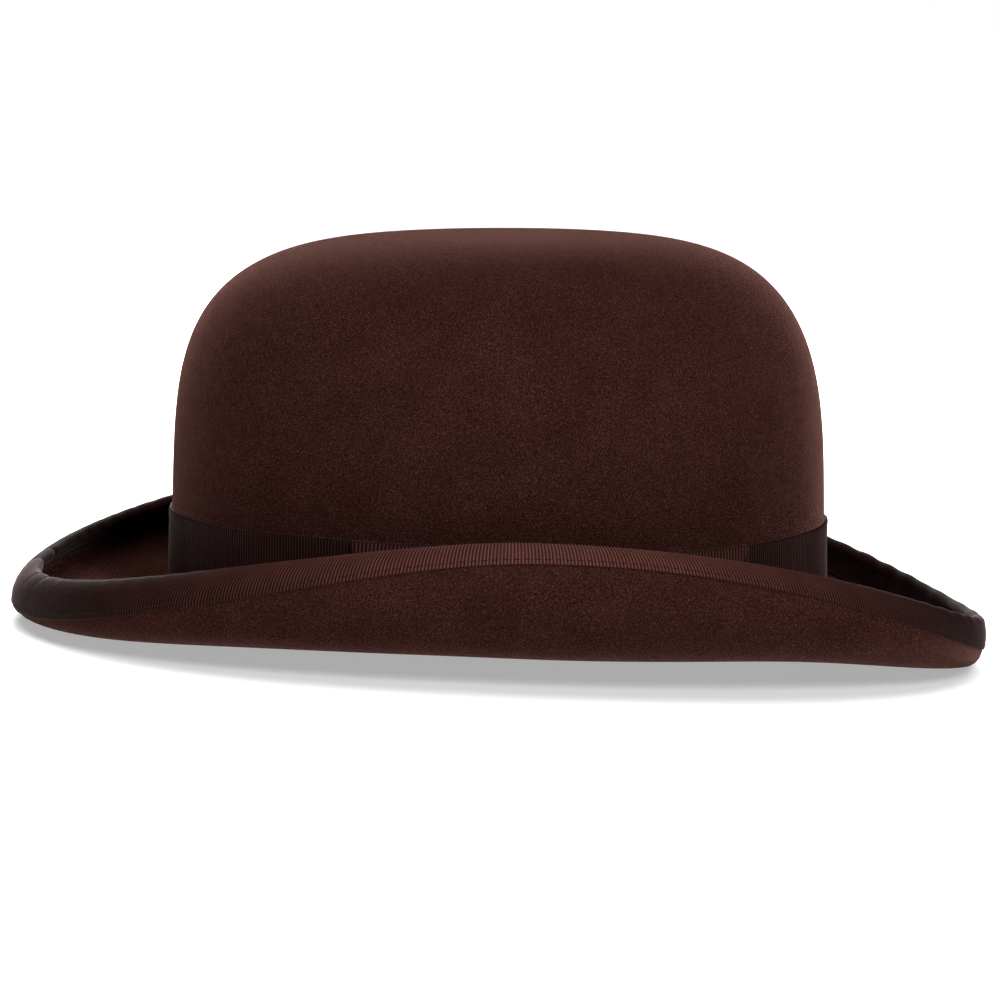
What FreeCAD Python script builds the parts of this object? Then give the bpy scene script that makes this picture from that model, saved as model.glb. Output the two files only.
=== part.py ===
"""Bowler hat: blocked wool felt, ribbon binding, ribbon band with a side bow, sweatband and satin lining.

Frame: +Z up, the hat stands on Z = 0 with the front at -Y and the wearer's left at +X.
The origin is at the middle of the hat's length and width. Lengths are millimetres.
An angle round the hat starts at the rear (+Y) and passes the wearer's left (+X) to the front.
"""
import FreeCAD, Part
import math
import os
import Sketcher
from FreeCAD import Placement, Rotation, Vector

# ---------------------------------------------------------------- driving dimensions
# A value that changes round the hat has one cell for the front, one for the sides and one for the rear.
DIMENSIONS = {
    # felt body
    "felt_thickness": 2.6,
    "crown_centre_y": -0.3,
    "crown_half_length": 104.5,
    "crown_half_width": 89.0,
    "crown_base": 10.28,
    "crown_height": 120.0,
    "crown_wall_height": 27.0,
    "crown_lean": 0.036,
    "crown_top_slope": 0.055,
    "crown_taper_front": 0.0,
    "crown_taper_side": 0.00015,
    "crown_taper_rear": 0.0003,
    "dome_power_front": 3.6,
    "dome_power_side": 2.6,
    "dome_power_rear": 3.8,
    "dome_root": 3.8,
    "break_radius": 5.0,
    "break_rise_front": -3.2,
    "break_rise_side": 0.0,
    "break_rise_rear": 1.5,
    "brim_width_front": 60.5,
    "brim_width_side": 57.0,
    "brim_width_rear": 61.5,
    "brim_slope_front": -10.5,
    "brim_slope_side": 6.0,
    "brim_slope_rear": -18.0,
    "brim_curl_front": 157.0,
    "brim_curl_side": 169.0,
    "brim_curl_rear": 105.0,
    "curl_power_front": 4.5,
    "curl_power_side": 1.6,
    "curl_power_rear": 3.5,
    "corner_turn_front": 56.0,
    "corner_turn_side": 10.0,
    "corner_turn_rear": 62.0,
    # ribbons
    "ribbon_gap": 0.15,
    "binding_thickness": 0.6,
    "binding_ribbon_width": 25.0,
    "binding_under_front": 12.2,
    "binding_under_side": 9.0,
    "binding_under_rear": 8.0,
    "binding_thread_radius": 0.2,
    "binding_thread_inset": 1.4,
    "band_thickness": 0.7,
    "band_foot": 4.5,
    "band_top_front": 31.3,
    "band_top_side": 31.3,
    "band_top_rear": 33.2,
    # side bow, placed by its angles round the crown
    "bow_front_angle": 120.0,
    "bow_rear_angle": 50.0,
    "bow_knot_angle": 85.0,
    "bow_loop_height": 27.0,
    "bow_waist_height": 17.0,
    "bow_loop_thickness": 3.0,
    "bow_waist_thickness": 1.8,
    "knot_width": 15.0,
    "knot_height": 20.0,
    "knot_thickness": 2.2,
    "knot_corner": 3.0,
    "bow_drop": 0.3,
    "waist_angle": 3.0,
    "tack_radius": 0.25,
    "tack_length": 3.0,
    # sweatband
    "sweatband_thickness": 1.0,
    "sweatband_height": 37.0,
    "sweatband_foot": 3.0,
    "sweatband_foot_gap": 0.8,
    "sweatband_top_gap": 2.4,
    "reed_radius": 0.7,
    "reed_tape_inner_radius": 0.8,
    "reed_tape_thickness": 0.3,
    "reed_tape_leg": 4.0,
    "stitch_count": 72.0,
    "seam_tape_width": 16.0,
    "seam_tape_thickness": 0.5,
    "seam_tape_height": 30.0,
    "small_bow_loop_length": 15.0,
    "small_bow_loop_height": 8.0,
    "small_bow_thickness": 1.2,
    "small_knot_width": 5.0,
    "small_knot_height": 6.0,
    "small_knot_thickness": 2.0,
    "plate_gap": 0.55,
    "tag_width": 22.0,
    "tag_height": 15.0,
    "tag_thickness": 0.3,
    "tag_corner": 1.5,
    # lining
    "lining_thickness": 0.4,
    "lining_gap": 1.8,
    "lining_foot": 24.0,
    "lining_tip_half_length": 67.0,
    "lining_tip_half_width": 53.0,
    "lining_tip_drop": 14.0,
    "piping_radius": 1.0,
}

doc = FreeCAD.newDocument("bowler_hat")
sheet = doc.addObject("Spreadsheet::Sheet", "dimensions")
for row, (alias, value) in enumerate(DIMENSIONS.items(), start=1):
    sheet.set(f"A{row}", alias.replace("_", " "))
    sheet.set(f"B{row}", str(value))
    sheet.setAlias(f"B{row}", alias)
doc.recompute()
SIZE = {alias: float(sheet.get(alias)) for alias in DIMENSIONS}

# Numbers of points and rows that the curved surfaces are drawn through.
RING_POINTS = 32
DOME_ROWS = 16
WALL_ROWS = 2
BREAK_ROWS = 4
BRIM_ROWS = 14
LEG_ROWS = 7
EDGE_TURNS = (-60, -30, 0, 30, 60)
CURL_STEPS = 40
CORD_SIDES = 10
# How quickly the front and rear sections give way to the side section.
SLOPE_SHARPNESS = 2.3
CURL_SHARPNESS = 2.6
CORNER_SHARPNESS = 4.5
# Share of the brim's width where its corner starts, and the share that the corner takes.
CORNER_PLACE = 0.74
CORNER_WIDTH = 0.115
SURFACE_STEP = 0.002
STITCH_SHARE = 0.6
# Places on the dome: where the lining is tucked against the felt, and where it leaves for the oval top.
LINING_TUCKS = (1.0, 0.965, 0.93)
LINING_TOP = 0.42
LINING_ROWS = 8


# ---------------------------------------------------------------- the hat's shape
def around(name, theta, sharpness=2.0):
    """Value of a front, side and rear dimension at an angle round the hat."""
    side = SIZE[name + "_side"]
    tip = SIZE[name + "_rear"] if math.cos(theta) > 0 else SIZE[name + "_front"]
    return side + (tip - side) * abs(math.cos(theta)) ** sharpness


def outward(theta):
    """Level direction out from the crown's base oval."""
    normal = Vector(math.sin(theta) / SIZE["crown_half_width"], math.cos(theta) / SIZE["crown_half_length"], 0)
    return normal.normalize()


def break_height(theta):
    """Height of the line where the crown turns into the brim."""
    return SIZE["crown_base"] + around("break_rise", theta)


def crown_point(theta, share, height):
    """Outer felt surface of the crown, at a share of its base oval and a height above the floor."""
    rise = height - SIZE["crown_base"]
    scale = share * (1 - around("crown_taper", theta) * rise)
    x = SIZE["crown_half_width"] * math.sin(theta) * scale
    y = SIZE["crown_half_length"] * math.cos(theta) * scale
    z = height + SIZE["crown_top_slope"] * y * (rise / SIZE["crown_height"]) ** 2
    return Vector(x, y - SIZE["crown_lean"] * rise + SIZE["crown_centre_y"], z)


def dome_point(theta, part):
    """Outer surface from the crown's highest point (part 0) to the top of its wall (part 1)."""
    angle = part * math.pi / 2
    share = math.sin(angle) ** (2 / SIZE["dome_root"])
    climb = max(math.cos(angle), 0) ** (2 / around("dome_power", theta))
    wall_height = SIZE["crown_wall_height"]
    return crown_point(theta, share, SIZE["crown_base"] + wall_height + climb * (SIZE["crown_height"] - wall_height))


def eased(part):
    """Smooth climb from 0 to 1."""
    part = min(max(part, 0.0), 1.0)
    return part * part * (3 - 2 * part)


def brim_line(theta, share):
    """Reach, rise and slope of the middle of the brim's felt, at a share of its width.

    The slope grows with a power of the share, and turns faster where the brim is creased into its corner.
    """
    width = around("brim_width", theta)
    start = math.radians(around("brim_slope", theta, SLOPE_SHARPNESS))
    corner = math.radians(around("corner_turn", theta, CORNER_SHARPNESS))
    turn = math.radians(around("brim_curl", theta, CURL_SHARPNESS)) - start - corner
    power = around("curl_power", theta)

    def slope_at(place):
        return start + turn * place ** power + corner * eased((place - CORNER_PLACE) / CORNER_WIDTH)

    step = share / CURL_STEPS
    slopes = [slope_at((index + 0.5) * step) for index in range(CURL_STEPS)]
    reach = sum(math.cos(slope) for slope in slopes) * step * width
    rise = sum(math.sin(slope) for slope in slopes) * step * width
    return reach, rise, slope_at(share)


def brim_point(theta, share, offset, along=0.0):
    """Point of the brim, offset from the middle of the felt; along carries it past the edge."""
    reach, rise, slope = brim_line(theta, share)
    reach += along * math.cos(slope) - offset * math.sin(slope)
    rise += along * math.sin(slope) + offset * math.cos(slope)
    oval = Vector(SIZE["crown_half_width"] * math.sin(theta),
                  SIZE["crown_half_length"] * math.cos(theta) + SIZE["crown_centre_y"], 0)
    return oval + outward(theta) * reach + Vector(0, 0, break_height(theta) + rise)


def edge_point(theta, offset, turn):
    """Point on the round of the brim's edge: turn is 90 on the upper side and -90 underneath."""
    angle = math.radians(turn)
    return brim_point(theta, 1.0, offset * math.sin(angle), offset * math.cos(angle))


def outer_point(theta, place):
    """Outer surface: 0 to 1 is the dome, 1 to 2 the wall, 2 to 3 the round above the brim."""
    if place <= 1:
        return dome_point(theta, place)
    half = SIZE["felt_thickness"] / 2
    radius = SIZE["break_radius"]
    wall_top = SIZE["crown_base"] + SIZE["crown_wall_height"]
    wall_foot = break_height(theta) + half + radius
    if place <= 2:
        return crown_point(theta, 1.0, wall_top + (place - 1) * (wall_foot - wall_top))
    start = crown_point(theta, 1.0, wall_foot)
    corner = crown_point(theta, 1.0, break_height(theta) + half)
    end = brim_point(theta, radius / around("brim_width", theta), half)
    blend = place - 2
    return start * (1 - blend) ** 2 + corner * 2 * blend * (1 - blend) + end * blend ** 2


def inner_point(theta, place, depth):
    """Point at a depth below the outer surface, square to it."""
    along = outer_point(theta, place + SURFACE_STEP) - outer_point(theta, place - SURFACE_STEP)
    across = outer_point(theta + SURFACE_STEP, place) - outer_point(theta - SURFACE_STEP, place)
    return outer_point(theta, place) - across.cross(along).normalize() * depth


def wall_point(theta, height, offset):
    """Point beside the crown's wall, at a height above the break; offset is outwards."""
    return crown_point(theta, 1.0, break_height(theta) + height) + outward(theta) * offset


# ---------------------------------------------------------------- making solids
def ring(row):
    """Closed smooth wire through row(theta)."""
    points = [row(2 * math.pi * index / RING_POINTS) for index in range(RING_POINTS)]
    curve = Part.BSplineCurve()
    curve.interpolate(Points=points, PeriodicFlag=True, Parameters=[float(i) for i in range(RING_POINTS + 1)])
    return Part.Wire([curve.toShape()])


def ring_solid(rows):
    """Solid band whose section runs through the rows and back to the first one."""
    edges = [ring(row).Edges[0] for row in rows]
    faces = [Part.makeRuledSurface(edge, edges[(index + 1) % len(edges)]) for index, edge in enumerate(edges)]
    shell = Part.makeShell(faces)
    shell.sewShape()
    return outside_out(Part.makeSolid(Part.Shell(shell.Faces)))


def outside_out(solid):
    """The same solid with its faces pointing outwards."""
    if solid.Volume < 0:
        solid.reverse()
    return solid


def feature(label, shape, placement=Placement()):
    """Document object that holds a finished shape."""
    piece = doc.addObject("Part::Feature", label)
    piece.Shape = shape
    piece.Placement = placement
    piece.Label = label
    return piece


def bind(piece, **cells):
    """Bind properties of a document object to cells of the sheet."""
    for name, cell in cells.items():
        piece.setExpression(name, "dimensions." + cell)


def seat(place, theta, height, side=1):
    """Placement on the wall place(theta, height): Y points up it and Z away from it, out (1) or in (-1)."""
    level = place(theta - side * SURFACE_STEP, height) - place(theta + side * SURFACE_STEP, height)
    upright = place(theta, height + 1) - place(theta, height - 1)
    return Placement(place(theta, height), Rotation(level, upright, level.cross(upright), "ZXY"))


# ---------------------------------------------------------------- felt
def binding_under(theta):
    """Width of the binding's leg under the brim."""
    return around("binding_under", theta)


def binding_upper(theta):
    """Width of the binding's upper leg: what the lower leg and the edge leave of the ribbon."""
    over_edge = math.pi * (SIZE["felt_thickness"] / 2 + SIZE["ribbon_gap"])
    return SIZE["binding_ribbon_width"] - over_edge - binding_under(theta)


def leg_point(theta, leg_width, distance, offset):
    """Point beside the brim's felt, at a distance from the selvedge of a leg of the binding."""
    return brim_point(theta, 1 - (leg_width - distance) / around("brim_width", theta), offset)


def leg_rows(leg_width, offset):
    """Rows of a leg of the binding, from its selvedge to the brim's edge."""
    parts = [index / LEG_ROWS for index in range(LEG_ROWS + 1)]
    return [lambda theta, part=part: leg_point(theta, leg_width(theta), part * leg_width(theta), offset)
            for part in parts]


def brim_rows(leg_width, offset):
    """Rows of a face of the brim, from the round above it to the brim's edge."""
    def open_row(part):
        def row(theta):
            width = around("brim_width", theta)
            start = SIZE["break_radius"] / width
            end = 1 - leg_width(theta) / width
            return brim_point(theta, start + (end - start) * part, offset)
        return row

    return [open_row(index / BRIM_ROWS) for index in range(BRIM_ROWS)] + leg_rows(leg_width, offset)


def felt_body():
    """Crown and brim: one sheet of felt, drawn from the outside top round the edge to the inside top."""
    half = SIZE["felt_thickness"] / 2
    depth = SIZE["felt_thickness"]
    places = [index / DOME_ROWS for index in range(1, DOME_ROWS + 1)]
    places += [1 + index / WALL_ROWS for index in range(1, WALL_ROWS + 1)]
    places += [2 + index / BREAK_ROWS for index in range(1, BREAK_ROWS)]
    rows = [lambda theta, place=place: outer_point(theta, place) for place in places]
    rows += brim_rows(binding_upper, half)
    rows += [lambda theta, turn=turn: edge_point(theta, half, turn) for turn in EDGE_TURNS[::-1]]
    rows += brim_rows(binding_under, -half)[::-1]
    rows += [lambda theta, place=place: inner_point(theta, place, depth) for place in reversed(places)]
    top = dome_point(0, 0)
    under_top = top - Vector(0, -SIZE["crown_top_slope"], 1).normalize() * depth
    sections = [Part.Vertex(top)] + [ring(row) for row in rows] + [Part.Vertex(under_top)]
    return feature("felt_body", outside_out(Part.makeLoft(sections, True, True)))


# ---------------------------------------------------------------- binding
def binding_rows(offset):
    """Rows of one face of the binding, from the lower selvedge over the edge to the upper one."""
    over = [lambda theta, turn=turn: edge_point(theta, offset, turn) for turn in EDGE_TURNS]
    return leg_rows(binding_under, -offset) + over + leg_rows(binding_upper, offset)[::-1]


def brim_binding():
    inside = SIZE["felt_thickness"] / 2 + SIZE["ribbon_gap"]
    outside = inside + SIZE["binding_thickness"]
    return feature("brim_binding", ring_solid(binding_rows(inside) + binding_rows(outside)[::-1]))


def tube(row, radius):
    """Closed cord of a given radius along a ring."""
    angles = [2 * math.pi * index / CORD_SIDES for index in range(CORD_SIDES)]
    return ring_solid([lambda theta, angle=angle: row(theta) + outward(theta) * (radius * math.cos(angle))
                       + Vector(0, 0, radius * math.sin(angle)) for angle in angles])


def binding_thread():
    """The needle thread's run under the brim and the bobbin thread's run on top."""
    inset = SIZE["binding_thread_inset"]
    radius = SIZE["binding_thread_radius"]
    offset = SIZE["felt_thickness"] / 2 + SIZE["ribbon_gap"] * 2 + SIZE["binding_thickness"] + radius
    needle = tube(lambda theta: leg_point(theta, binding_under(theta), inset, -offset), radius)
    bobbin = tube(lambda theta: leg_point(theta, binding_upper(theta), inset, offset), radius)
    return feature("binding_thread", Part.makeCompound([needle, bobbin]))


# ---------------------------------------------------------------- band and side bow
def band_ribbon():
    inside = SIZE["ribbon_gap"]
    outside = inside + SIZE["band_thickness"]
    foot = SIZE["felt_thickness"] / 2 + SIZE["band_foot"]

    def row(offset, top):
        return lambda theta: wall_point(theta, around("band_top", theta) if top else foot, offset)

    return feature("band_ribbon", ring_solid([row(inside, False), row(outside, False),
                                              row(outside, True), row(inside, True)]))


def bow_height(theta):
    """Height of the bow's middle line above the break."""
    return around("band_top", theta) - SIZE["bow_loop_height"] / 2 - SIZE["bow_drop"]


def bow_base():
    """Offset of the bow's inner face from the crown's wall."""
    return SIZE["ribbon_gap"] * 3 + SIZE["band_thickness"]


def bow_loop(label, end_angle, knot_side):
    """Half of the bow: a flat loop that narrows from its folded end to the knot."""
    knot = SIZE["bow_knot_angle"] + knot_side * SIZE["waist_angle"]
    sections = []
    section_count = 7
    for index in range(section_count):
        part = index / (section_count - 1)
        theta = math.radians(knot + (end_angle - knot) * part)
        spread = math.sin(part * math.pi / 2)
        half = (SIZE["bow_waist_height"] + (SIZE["bow_loop_height"] - SIZE["bow_waist_height"]) * spread) / 2
        thickness = SIZE["bow_waist_thickness"]
        thickness += (SIZE["bow_loop_thickness"] - thickness) * math.sin(part * math.pi)
        middle = bow_height(theta)
        corners = [wall_point(theta, middle + half * up, bow_base() + thickness * out)
                   for up, out in ((-1, 0), (-1, 1), (1, 1), (1, 0))]
        sections.append(Part.makePolygon(corners + corners[:1]))
    return feature(label, outside_out(Part.makeLoft(sections, True, True)))


def rounded_plate(label, width_cell, height_cell, thickness_cell, corner_cell, placement):
    """Flat plate with rounded corners, padded from a sketch of its outline."""
    body = doc.addObject("PartDesign::Body", label)
    body.Label = label
    sketch = body.newObject("Sketcher::SketchObject", label + "_outline")
    plane = next(item for item in body.Origin.OriginFeatures if item.Role == "XY_Plane")
    sketch.AttachmentSupport = [(plane, "")]
    sketch.MapMode = "FlatFace"
    half_x = SIZE[width_cell] / 2
    half_y = SIZE[height_cell] / 2
    corners = [Vector(-half_x, -half_y), Vector(half_x, -half_y), Vector(half_x, half_y), Vector(-half_x, half_y)]
    for index in range(4):
        sketch.addGeometry(Part.LineSegment(corners[index], corners[(index + 1) % 4]), False)
    for index in range(4):
        sketch.addConstraint(Sketcher.Constraint("Coincident", index, 2, (index + 1) % 4, 1))
    for index, direction in enumerate(("Horizontal", "Vertical", "Horizontal", "Vertical")):
        sketch.addConstraint(Sketcher.Constraint(direction, index))
    sketch.addConstraint(Sketcher.Constraint("Symmetric", 0, 1, 2, 1, -1, 1))
    width = sketch.addConstraint(Sketcher.Constraint("DistanceX", 0, 1, 0, 2, 2 * half_x))
    height = sketch.addConstraint(Sketcher.Constraint("DistanceY", 1, 1, 1, 2, 2 * half_y))
    sketch.renameConstraint(width, "width")
    sketch.renameConstraint(height, "height")
    sketch.setExpression("Constraints.width", "dimensions." + width_cell)
    sketch.setExpression("Constraints.height", "dimensions." + height_cell)
    pad = body.newObject("PartDesign::Pad", label + "_pad")
    pad.Profile = sketch
    bind(pad, Length=thickness_cell)
    doc.recompute()
    upright = [f"Edge{number}" for number, edge in enumerate(pad.Shape.Edges, start=1)
               if abs(edge.tangentAt(edge.FirstParameter).z) > 0.99]
    rounding = body.newObject("PartDesign::Fillet", label + "_corners")
    rounding.Base = (pad, upright)
    bind(rounding, Radius=corner_cell)
    body.Placement = placement
    return body


def bow_knot():
    theta = math.radians(SIZE["bow_knot_angle"])
    offset = bow_base() + SIZE["bow_waist_thickness"] + 4 * SIZE["ribbon_gap"]
    return rounded_plate("bow_knot", "knot_width", "knot_height", "knot_thickness", "knot_corner",
                         seat(lambda angle, height: wall_point(angle, height, offset), theta, bow_height(theta)))


def tack(theta, height, offset):
    """Short upright hand stitch lying on the ribbon."""
    length = SIZE["tack_length"]
    return Part.makeCylinder(SIZE["tack_radius"], length, wall_point(theta, height - length / 2, offset))


def bow_tacks():
    """Stitches at the open ends of the bow, two at each end."""
    offset = bow_base() + SIZE["bow_waist_thickness"] + SIZE["tack_radius"] + 2 * SIZE["ribbon_gap"]
    angles = [math.radians(SIZE["bow_front_angle"] - 0.7), math.radians(SIZE["bow_rear_angle"] + 0.7)]
    lift = SIZE["bow_loop_height"] / 3
    stitches = [tack(theta, bow_height(theta) + side * lift, offset) for theta in angles for side in (-1, 1)]
    return feature("bow_tacks", Part.makeCompound(stitches))


def band_tacks():
    """Stitches near the band's top edge at the front, the right and the rear."""
    offset = SIZE["ribbon_gap"] * 2 + SIZE["band_thickness"] + SIZE["tack_radius"]
    angles = [math.radians(angle) for angle in (4, 180, 225, 270, 315)]
    stitches = [tack(theta, around("band_top", theta) - SIZE["tack_length"], offset) for theta in angles]
    return feature("band_tacks", Part.makeCompound(stitches))


# ---------------------------------------------------------------- sweatband
def sweatband_offset(share):
    """Offset of the sweatband's outer face from the crown's outer wall; share 1 is its top edge."""
    gap = SIZE["sweatband_foot_gap"]
    gap += (SIZE["sweatband_top_gap"] - gap) * share
    return -SIZE["felt_thickness"] - gap


def sweatband_height(share):
    """Height above the break of a share of the sweatband's height."""
    return SIZE["sweatband_foot"] + SIZE["sweatband_height"] * share


def sweatband():
    def row(share, depth):
        return lambda theta: wall_point(theta, sweatband_height(share), sweatband_offset(share) - depth)

    thickness = SIZE["sweatband_thickness"]
    return feature("sweatband", ring_solid([row(0, 0), row(0, thickness), row(1, thickness), row(1, 0)]))


def beside_reed(theta, across, up):
    """Point near the reed, which runs just under the sweatband's lower edge."""
    height = SIZE["sweatband_foot"] - SIZE["reed_radius"] - SIZE["ribbon_gap"]
    return wall_point(theta, height + up, sweatband_offset(0) - SIZE["sweatband_thickness"] / 2 + across)


def sweatband_reed():
    return feature("sweatband_reed", tube(lambda theta: beside_reed(theta, 0, 0), SIZE["reed_radius"]))


def reed_tape():
    """Cloth tape folded round the reed; its legs stand on both sides of the sweatband."""
    def leg(across):
        return lambda theta: beside_reed(theta, across, SIZE["reed_tape_leg"])

    def fold(radius, turn):
        angle = math.radians(turn)
        return lambda theta: beside_reed(theta, radius * math.cos(angle), radius * math.sin(angle))

    inner = SIZE["reed_tape_inner_radius"]
    outer = inner + SIZE["reed_tape_thickness"]
    turns = (0, -30, -60, -90, -120, -150, -180)
    rows = [leg(inner)] + [fold(inner, turn) for turn in turns] + [leg(-inner)]
    rows += [leg(-outer)] + [fold(outer, turn) for turn in reversed(turns)] + [leg(outer)]
    return feature("reed_tape", ring_solid(rows))


def sweatband_stitches():
    """Stitches that lie along the inner side of the reed tape."""
    count = int(SIZE["stitch_count"])
    depth = SIZE["reed_tape_inner_radius"] + SIZE["reed_tape_thickness"] + SIZE["tack_radius"] + SIZE["ribbon_gap"]
    lift = SIZE["reed_tape_leg"] / 2
    stitches = []
    for index in range(count):
        start_angle = 2 * math.pi * index / count
        end_angle = start_angle + STITCH_SHARE * 2 * math.pi / count
        start = beside_reed(start_angle, -depth, lift)
        end = beside_reed(end_angle, -depth, lift)
        run = end - start
        stitches.append(Part.makeCylinder(SIZE["tack_radius"], run.Length, start, run))
    return feature("sweatband_stitches", Part.makeCompound(stitches))


def on_sweatband(theta, share, gap):
    """Placement on the sweatband's inner face: Z points into the hat and Y points up."""
    def face(angle, height):
        part = (height - SIZE["sweatband_foot"]) / SIZE["sweatband_height"]
        return wall_point(angle, height, sweatband_offset(part) - SIZE["sweatband_thickness"] - gap)

    return seat(face, theta, sweatband_height(share), -1)


def sweatband_seam_tape():
    gap = SIZE["plate_gap"]
    return rounded_plate("sweatband_seam_tape", "seam_tape_width", "seam_tape_height", "seam_tape_thickness",
                         "tag_thickness", on_sweatband(0, 0.5, gap))


def small_bow():
    """Ribbon bow over the sweatband's joint: two loops and a knot."""
    gap = SIZE["plate_gap"] + SIZE["seam_tape_thickness"] + SIZE["ribbon_gap"]
    reach = (SIZE["small_bow_loop_length"] + SIZE["small_knot_width"]) / 2 + SIZE["plate_gap"]
    turn = reach * SIZE["crown_half_length"] / SIZE["crown_half_width"] ** 2
    loops = []
    for label, side in (("sweatband_bow_left", 1), ("sweatband_bow_right", -1)):
        loops.append(rounded_plate(label, "small_bow_loop_length", "small_bow_loop_height", "small_bow_thickness",
                                   "tag_corner", on_sweatband(side * turn, 0.35, gap + SIZE["plate_gap"])))
    knot = rounded_plate("sweatband_bow_knot", "small_knot_width", "small_knot_height", "small_knot_thickness",
                         "tag_corner", on_sweatband(0, 0.35, gap))
    return loops + [knot]


def size_tag():
    """Blank cloth tag on the sweatband, a little to the left of its joint."""
    gap = SIZE["plate_gap"] * 2
    return rounded_plate("size_tag", "tag_width", "tag_height", "tag_thickness", "tag_corner",
                         on_sweatband(math.radians(30), 0.55, gap))


# ---------------------------------------------------------------- lining
def tip_placement(drop=0.0):
    """Plane of the lining's oval top, parallel to the top of the crown."""
    slope = math.degrees(math.atan(SIZE["crown_top_slope"]))
    top = dome_point(0, 0) - Vector(0, 0, SIZE["lining_tip_drop"] + drop)
    return Placement(top, Rotation(Vector(1, 0, 0), slope))


def tip_edge(theta, spread, drop=0.0):
    """Point on the rim of the oval top, spread wider by a few tenths."""
    flat = Vector((SIZE["lining_tip_half_width"] + spread) * math.sin(theta),
                  (SIZE["lining_tip_half_length"] + spread) * math.cos(theta), 0)
    return tip_placement(drop).multVec(flat)


def lining_tip():
    """Flat oval of satin under the top of the crown."""
    outline = doc.addObject("Part::Ellipse", "lining_tip_outline")
    bind(outline, MajorRadius="lining_tip_half_length", MinorRadius="lining_tip_half_width")
    middle = tip_placement()
    outline.Placement = Placement(middle.Base, middle.Rotation.multiply(Rotation(Vector(0, 0, 1), 90)))
    tip = doc.addObject("Part::Extrusion", "lining_tip")
    tip.Base = outline
    tip.DirMode = "Normal"
    tip.Solid = True
    bind(tip, LengthFwd="lining_thickness")
    tip.Label = "lining_tip"
    return tip


def lining_side():
    """Satin wall: its foot is tucked behind the sweatband, and its top is sewn to the rim of the oval top."""
    thickness = SIZE["lining_thickness"]
    tucked = SIZE["ribbon_gap"] * 2
    clear = SIZE["piping_radius"] * 2 + SIZE["ribbon_gap"] * 2
    loose_from = LINING_TUCKS[-1]
    parts = [index / LINING_ROWS for index in range(1, LINING_ROWS + 1)]
    places = [loose_from + (LINING_TOP - loose_from) * part for part in parts]

    def rows(extra):
        depth = SIZE["felt_thickness"] + tucked + extra
        loose = SIZE["felt_thickness"] + SIZE["lining_gap"] + extra
        made = [lambda theta: wall_point(theta, SIZE["lining_foot"], -depth)]
        made += [lambda theta, place=place: inner_point(theta, place, depth) for place in LINING_TUCKS]
        made += [lambda theta, place=place: inner_point(theta, place, loose) for place in places]
        made.append(lambda theta: tip_edge(theta, clear, extra - thickness))
        return made

    return feature("lining_side", ring_solid(rows(0) + rows(thickness)[::-1]))


def lining_piping():
    spread = SIZE["piping_radius"] + SIZE["ribbon_gap"]
    return feature("lining_piping", tube(lambda theta: tip_edge(theta, spread), SIZE["piping_radius"]))


# ---------------------------------------------------------------- assembly
def make_hat():
    pieces = [felt_body(), brim_binding(), binding_thread(), band_ribbon(), band_tacks()]
    pieces.append(bow_loop("bow_front_loop", SIZE["bow_front_angle"], 1))
    pieces.append(bow_loop("bow_rear_loop", SIZE["bow_rear_angle"], -1))
    pieces += [bow_knot(), bow_tacks(), sweatband(), sweatband_stitches()]
    pieces += [sweatband_reed(), reed_tape(), sweatband_seam_tape(), *small_bow(), size_tag()]
    pieces += [lining_side(), lining_tip(), lining_piping()]
    return pieces


def check_and_write(pieces):
    doc.recompute()
    for item in doc.Objects:
        failed = [state for state in item.State if state in ("Invalid", "Error")]
        if failed:
            raise RuntimeError(f"{item.Label}: {failed}")
    for piece in pieces:
        if piece.Shape.isNull() or not piece.Shape.isValid():
            raise RuntimeError(f"{piece.Label}: no valid shape")
    os.makedirs("parts", exist_ok=True)
    for piece in pieces:
        piece.Shape.exportStep(f"parts/{piece.Label}.step")
        box = piece.Shape.BoundBox
        print(f"{piece.Label:22s} {piece.Shape.Volume:10.1f} mm3 {len(piece.Shape.Solids):3d} solids "
              f"x {box.XMin:7.2f} {box.XMax:7.2f} y {box.YMin:7.2f} {box.YMax:7.2f} z {box.ZMin:6.2f} {box.ZMax:6.2f}")


check_and_write(make_hat())
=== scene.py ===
import math

import bmesh
import bpy
import numpy as np
from mathutils import Matrix, Vector


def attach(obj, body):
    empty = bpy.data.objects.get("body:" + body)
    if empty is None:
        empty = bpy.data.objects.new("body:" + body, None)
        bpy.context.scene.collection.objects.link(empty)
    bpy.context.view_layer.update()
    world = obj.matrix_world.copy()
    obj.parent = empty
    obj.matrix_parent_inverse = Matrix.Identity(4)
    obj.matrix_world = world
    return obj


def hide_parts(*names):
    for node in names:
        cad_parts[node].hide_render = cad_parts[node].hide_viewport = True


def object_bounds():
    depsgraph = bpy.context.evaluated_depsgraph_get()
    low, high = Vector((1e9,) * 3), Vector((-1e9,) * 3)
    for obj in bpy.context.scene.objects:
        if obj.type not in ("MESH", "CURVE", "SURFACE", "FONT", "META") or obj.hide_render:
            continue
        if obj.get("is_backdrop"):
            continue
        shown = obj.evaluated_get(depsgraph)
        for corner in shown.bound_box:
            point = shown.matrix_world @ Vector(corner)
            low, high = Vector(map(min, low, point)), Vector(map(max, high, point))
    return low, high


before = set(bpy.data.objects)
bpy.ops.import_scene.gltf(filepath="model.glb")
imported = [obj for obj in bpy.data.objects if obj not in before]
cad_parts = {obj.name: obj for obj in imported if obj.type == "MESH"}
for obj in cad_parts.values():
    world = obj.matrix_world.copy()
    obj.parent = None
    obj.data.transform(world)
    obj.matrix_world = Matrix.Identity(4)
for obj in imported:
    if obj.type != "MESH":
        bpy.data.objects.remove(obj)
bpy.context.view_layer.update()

TURN = 2 * math.pi
MM = 0.001

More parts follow.
